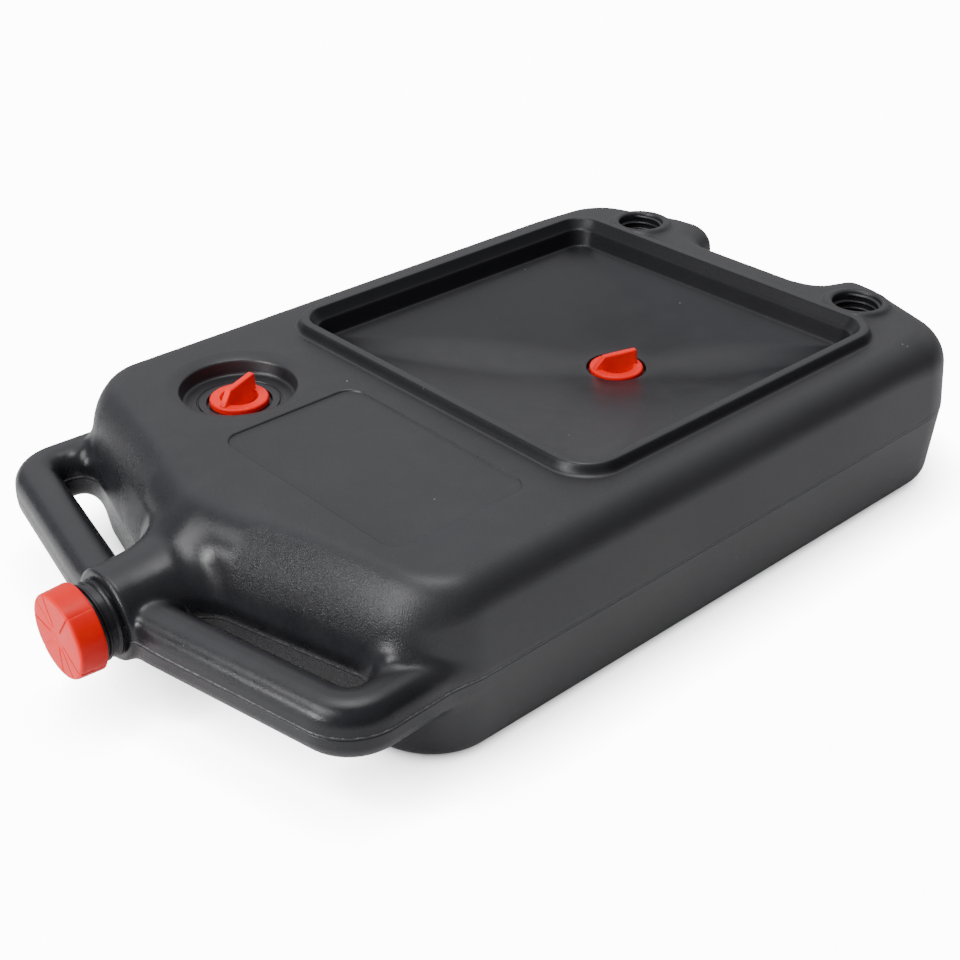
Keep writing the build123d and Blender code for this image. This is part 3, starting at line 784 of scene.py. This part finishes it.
def black_plastic():
    material, m = new_material("black_polyethylene")
    x, y, z = m.split(m.place)
    nz = m.split(m.geometry("Normal"))[2]
    big = m.noise(scale=7.0, detail=3.0, rough=0.55)
    mid = m.noise(scale=55.0, detail=3.0, rough=0.6)
    fine = m.noise(scale=900.0, detail=3.0, rough=0.6)
    grain = m.noise(scale=1500.0, detail=2.0, rough=0.6)

    # masks of the tray floor, the deck and the front
    from_tray_x = m.size(m.minus(x, TRAY_X * MM))
    from_tray_y = m.size(y)
    from_tray = m.math("MAXIMUM", from_tray_x, from_tray_y)
    floor = m.times(m.ramp(from_tray, over=(0.1372, 0.1383), to=FALL),
                    m.ramp(z, over=(0.1066, 0.1082), to=FALL),
                    m.ramp(nz, over=(0.6, 0.85)))
    deck = m.times(m.ramp(nz, over=(0.9, 0.985)), m.ramp(z, over=(0.117, 0.119)))
    front = m.times(m.ramp(x, over=(-0.19, -0.225)), m.ramp(nz, over=(0.93, 0.8)))

    # the leather grain is on the front wall only: the handles and the spout are smooth
    lean = m.times(m.ramp(z, over=(0.050, 0.072)), -0.012)
    slant, wall_middle_x = 0.263, -0.2615
    wall_x = m.minus(m.plus(m.times(m.size(y), slant), wall_middle_x), lean)
    on_wall = m.ramp(m.minus(x, wall_x), over=(-0.010, -0.004))
    leather_mask = m.times(front, on_wall, m.ramp(m.size(y), over=(0.042, 0.055)))

    # mottled base colour
    base = m.tint(m.ramp(big, over=MIDDLE), off=(0.0090, 0.0090, 0.0112), on=(0.0130, 0.0130, 0.0158))
    base = m.tint(m.ramp(mid, over=(0.45, 0.75)), base, on=(0.019, 0.0195, 0.0215), amount=0.25)
    base = m.tint(m.ramp(fine, over=(0.5, 0.8)), base, on=(0.022, 0.0225, 0.0245), amount=0.30)

    # pale specks of dust and scuffs
    dots = m.cells(feature="F1", scale=75.0)
    pick = m.ramp(m.noise(scale=31.0, detail=1.0), over=(0.60, 0.66))
    speck = m.times(m.ramp(dots, over=(0.035, 0.055), to=FALL), pick)
    streaks = m.noise(scale=60.0, detail=4.0, rough=0.7, stretch=(1.0, 9.0, 9.0), distortion=0.6)
    scuff = m.times(m.ramp(streaks, over=(0.66, 0.80)),
                    m.ramp(m.noise(scale=16.0), over=(0.55, 0.68)))
    base = m.tint(speck, base, on=(0.30, 0.30, 0.29), amount=0.75)
    base = m.tint(scuff, base, on=(0.14, 0.14, 0.14), amount=0.06)

    # flash line where the two mould halves met, rising to the rear, with a groove below it painted dark
    # as shade
    noise_middle, wobble_height = 0.5, 0.0008
    wobble = m.times(m.minus(m.noise(scale=24.0), noise_middle), wobble_height)
    seam_z = m.ramp(x, over=(-0.30, 0.30), to=(0.0604, 0.0636), kind="LINEAR")
    above = m.plus(m.minus(z, seam_z), wobble)
    side = m.times(m.ramp(m.size(nz), over=(0.75, 0.45)),
                   m.ramp(m.size(y), over=(0.015, 0.02)),
                   m.ramp(x, over=(-0.3015, -0.300)))
    line = m.times(m.ramp(m.size(above), over=(0.00025, 0.0008), to=FALL), side)
    dark_line_drop = 0.0011
    below = m.size(m.plus(above, dark_line_drop))
    shaded_groove = m.times(m.ramp(below, over=(0.0003, 0.0009), to=FALL), side)
    ragged = m.ramp(m.noise(scale=180.0, detail=4.0, rough=0.75), over=(0.42, 0.62))
    near_front = m.ramp(x, over=(-0.10, -0.21), to=(0.16, 1.0))
    ragged_share, even_share = 0.75, 0.12
    flash = m.times(line, m.plus(m.times(ragged, ragged_share), even_share), near_front)
    base = m.tint(flash, base, on=(0.17, 0.17, 0.175), amount=0.85)
    # painted shade in the groove under the flash
    base = m.tint(shaded_groove, base, on=(0.003, 0.003, 0.0035), amount=0.8)

    # the rim's flanks and the tray wall are darkened with painted shade; worn edges are paler
    from_middle = m.math("MINIMUM", from_tray_x, from_tray_y)
    shaded_flank = m.times(m.ramp(from_tray, over=(0.1555, 0.1575), to=FALL),
                    m.ramp(nz, over=(0.93, 0.80)),
                    m.ramp(z, over=(0.1066, 0.1085)),
                    m.ramp(from_middle, over=(0.128, 0.138), to=(1.0, 0.25)))
    edge = m.times(m.ramp(m.geometry("Pointiness"), over=(0.53, 0.60)),
                   m.ramp(mid, over=(0.4, 0.7)))
    # painted shade on the rim's flanks and the tray wall
    base = m.tint(shaded_flank, base, on=(0.0060, 0.0060, 0.0070), amount=0.6)
    base = m.tint(edge, base, on=(0.045, 0.045, 0.05), amount=0.08)
    m.surface("Base Color", base)

    rough = m.plus(m.ramp(big, over=MIDDLE, to=(0.40, 0.46)),
                   m.ramp(fine, over=MIDDLE, to=(-0.03, 0.03)))
    rough = m.mix(deck, rough, on=0.50, amount=0.8)
    rough = m.mix(front, rough, on=m.ramp(mid, over=MIDDLE, to=(0.26, 0.31)))
    rough = m.mix(floor, rough, on=m.ramp(mid, over=(0.35, 0.7), to=(0.28, 0.33)))
    m.surface("Roughness", rough)
    m.surface("IOR", 1.5)
    specular = m.mix(floor, off=0.5, on=0.33)
    specular = m.mix(front, specular, on=0.27)
    m.surface("Specular IOR Level", m.mix(shaded_flank, specular, on=0.20))

    # relief: leather, fine grain, slow waves, then flash and specks
    keep = m.mix(floor, off=1.0, on=0.12)
    cell_share, flash_share, speck_share = 0.5, 0.6, 0.5
    leather = m.cells(feature="SMOOTH_F1", scale=1250.0)
    leather = m.plus(m.noise(scale=950.0, detail=3.0, rough=0.6), m.times(leather, cell_share))
    normal = m.bump(leather, strength=m.times(m.mix(leather_mask, off=0.05, on=0.95), keep),
                    depth=0.0006)
    normal = m.bump(grain, strength=m.times(m.mix(deck, off=0.22, on=0.55), keep),
                    depth=0.0003, under=normal)
    normal = m.bump(m.noise(scale=14.0, detail=1.0), strength=m.mix(floor, off=0.10, on=0.05),
                    depth=0.004, under=normal)
    seam = m.minus(m.times(line, flash_share), shaded_groove)
    marks = m.plus(m.plus(flash, seam), m.times(speck, speck_share))
    m.surface("Normal", m.bump(marks, strength=0.8, depth=0.0004, under=normal))
    return material


def red_plastic(name, depth):
    """Red closure plastic; depth scales the colour, and below 1 gives a copy darkened as painted shade.
    """
    material, m = new_material(name)

    def shade(*color):
        return tuple(c * depth for c in color)

    big = m.noise(scale=60.0, detail=3.0, rough=0.6)
    fine = m.noise(scale=1400.0, detail=3.0, rough=0.6)
    flow = m.noise(scale=240.0, detail=3.0, rough=0.65, stretch=(1.0, 1.0, 3.0), distortion=0.4)
    edge = m.geometry("Pointiness")
    base = m.tint(m.ramp(big, over=MIDDLE), off=shade(0.92, 0.005, 0.002), on=shade(0.99, 0.008, 0.004))
    base = m.tint(m.ramp(flow, over=(0.5, 0.75)), base, on=shade(0.96, 0.014, 0.008), amount=0.22)
    base = m.tint(m.ramp(edge, over=(0.52, 0.62)), base, on=shade(0.98, 0.05, 0.03), amount=0.20)
    # painted shade: darker red in the grooves and other hollows
    base = m.tint(m.ramp(edge, over=(0.48, 0.42)), base, on=(0.40, 0.002, 0.001), amount=0.35)
    m.surface("Base Color", base)
    m.surface("Roughness", m.plus(m.ramp(big, over=MIDDLE, to=(0.34, 0.40)),
                                  m.ramp(fine, over=MIDDLE, to=(-0.03, 0.03))))
    m.surface("IOR", 1.45)
    m.surface("Specular IOR Level", 0.22)
    m.surface("Subsurface Weight", 0.10)
    m.surface("Subsurface Radius", (1.0, 0.15, 0.1))
    m.surface("Subsurface Scale", 0.0015)
    normal = m.bump(fine, strength=0.16, depth=0.0002)
    m.surface("Normal", m.bump(flow, strength=0.08, depth=0.0008, under=normal))
    return material


def matte(name, patch_scale, grain_scale, colors, roughness, relief):
    """A dull, finely grained material."""
    material, m = new_material(name)
    patches = m.noise(scale=patch_scale, detail=3.0)
    grain = m.noise(scale=grain_scale)
    m.surface("Base Color", m.tint(m.ramp(patches, over=MIDDLE), *colors))
    m.surface("Roughness", m.ramp(grain, over=MIDDLE, to=roughness))
    m.surface("Normal", m.bump(grain, strength=relief, depth=0.0002))
    return material


def paint(obj, material):
    obj.data.materials.clear()
    obj.data.materials.append(material)


BLACK = black_plastic()
RUBBER = matte("seal_rubber", patch_scale=300.0, grain_scale=1800.0, relief=0.2,
               colors=((0.012, 0.012, 0.012), (0.024, 0.024, 0.023)), roughness=(0.55, 0.7))
FOAM = matte("liner_foam", patch_scale=250.0, grain_scale=2600.0, relief=0.3,
             colors=((0.78, 0.78, 0.75), (0.86, 0.86, 0.84)), roughness=(0.6, 0.8))
RED = red_plastic("red_closure_plastic", depth=1.0)
# painted shade: the cap's face points straight at the lamp, so its colour is made a shade deeper
RED_CAP_SHADED = red_plastic("red_cap_plastic_shaded", depth=0.72)
paint(shell, BLACK)
paint(cap_shell, RED_CAP_SHADED)
for part, material, slot in (("drain_plug", RED, "closures"), ("vent_plug", RED, "closures"),
                             ("spout_cap_liner", FOAM, "liner"),
                             ("drain_plug_seal", RUBBER, "seals"),
                             ("vent_plug_seal", RUBBER, "seals")):
    paint(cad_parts[part], material)


# ---------------------------------------------------------------------------
# floor, light, camera, in metres
# ---------------------------------------------------------------------------
def studio_floor():
    """Glows evenly for the camera, dimmed by a painted contact shadow near the canister; everything
    else sees a grey floor with a painted fall-off of light outwards.
    """
    material, m = new_material("studio_floor")
    x, y, _ = m.split(m.place)
    camera_x, camera_y = -0.67, -0.74        # direction of the camera in plan
    away = m.plus(m.times(x, camera_x), m.times(y, camera_y))
    # painted fall-off of light: the grey darkens far out towards the camera and behind the canister
    grey_with_painted_falloff = m.times(m.times(m.ramp(away, over=(0.42, 0.85), to=(1.0, 0.10)),
                           m.ramp(away, over=(-0.5, -0.25), to=(0.55, 1.0))),
                   m.ramp(m.noise(scale=3.0), over=MIDDLE, to=(0.88, 0.93)))
    color = m.add("ShaderNodeCombineColor")
    for k in range(3):
        m.put(color.inputs[k], grey_with_painted_falloff)
    m.surface("Base Color", color.outputs[0])
    m.surface("Roughness", 0.8)
    # the glow dims close to the canister: a painted contact shadow
    painted_contact_shadow = m.add("ShaderNodeAmbientOcclusion", samples=8)
    m.put(painted_contact_shadow.inputs["Distance"], 0.05)
    painted_shadow_power, glow_strength = 2.0, 13.0
    glow = m.add("ShaderNodeEmission")
    m.put(glow.inputs["Strength"],
          m.times(m.math("POWER", painted_contact_shadow.outputs["AO"], painted_shadow_power), glow_strength))
    both = m.add("ShaderNodeMixShader")
    m.put(both.inputs[0], m.add("ShaderNodeLightPath").outputs["Is Camera Ray"])
    m.put(both.inputs[1], m.bsdf.outputs[0])
    m.put(both.inputs[2], glow.outputs[0])
    m.put(m.tree.nodes["Material Output"].inputs["Surface"], both.outputs[0])
    return material


def build_world():
    """A dim room, brightest high up at the rear on +Y and darker towards the horizon."""
    world = bpy.data.worlds.new("studio")
    world.use_nodes = True
    bpy.context.scene.world = world
    m = Nodes(world.node_tree, "Generated")
    background = m.tree.nodes["Background"]
    m.put(background.inputs["Color"], (0.985, 0.985, 1.02, 1.0))
    facing = m.add("ShaderNodeVectorMath", operation="DOT_PRODUCT")
    m.put(facing.inputs[0], m.place)
    m.put(facing.inputs[1], Vector((0.52, 0.68, 0.52)).normalized())
    glow = m.ramp(facing.outputs["Value"], over=(0.1, 0.95), to=(0.30, 1.15))
    horizon = m.ramp(m.split(m.place)[2], over=(0.0, 0.5), to=(0.42, 1.0))
    m.put(background.inputs["Strength"], m.times(glow, horizon))


def area_light(name, location, target, size, power):
    light = bpy.data.lights.new(name, "AREA")
    light.shape = "RECTANGLE"
    light.size, light.size_y = size
    light.energy = power
    obj = link_mesh(name, light)
    obj.location = location
    aim = Vector(target) - Vector(location)
    obj.rotation_euler = aim.to_track_quat("-Z", "Y").to_euler()


def build_camera():
    azimuth, elevation, roll = (math.radians(a) for a in (-42.197, 31.157, -0.21))
    back = np.array([math.sin(azimuth) * math.cos(elevation),
                     -math.cos(azimuth) * math.cos(elevation), math.sin(elevation)])
    right = np.cross([0, 0, 1], back)
    right /= np.linalg.norm(right)
    up = np.cross(back, right)
    rolled_right = math.cos(roll) * right + math.sin(roll) * up
    rolled_up = -math.sin(roll) * right + math.cos(roll) * up
    data = bpy.data.cameras.new("camera")
    data.lens = 57.31
    data.sensor_width = 36.0
    pose = Matrix.Identity(4)
    for i in range(3):
        pose[i][0], pose[i][1], pose[i][2] = rolled_right[i], rolled_up[i], back[i]
    pose.translation = Vector((-0.62909, -0.69229, 0.59975))
    camera = bpy.data.objects.new("camera", data)
    camera.matrix_world = pose
    bpy.context.scene.collection.objects.link(camera)
    bpy.context.scene.camera = camera


FLOOR_HALF, FLOOR_Z = 9, -0.0002
floor_corners = [(FLOOR_HALF * i, FLOOR_HALF * j, FLOOR_Z)
                 for i, j in ((-1, -1), (1, -1), (1, 1), (-1, 1))]
floor_obj = new_object("floor", floor_corners, [(0, 1, 2, 3)])
paint(floor_obj, studio_floor())
build_world()
area_light("key", location=(-1.52, 0.15, 1.3), target=(-0.2, 0.0, 0.08), size=(1.2, 0.6), power=27.0)
area_light("left", location=(-1.75, 0.12, 0.44), target=(-0.1, 0.0, 0.06), size=(0.7, 0.26),
           power=21.0)
area_light("top", location=(-0.1, 0.0, 2.2), target=(0.0, 0.0, 0.1), size=(0.8, 0.8), power=22.0)
build_camera()
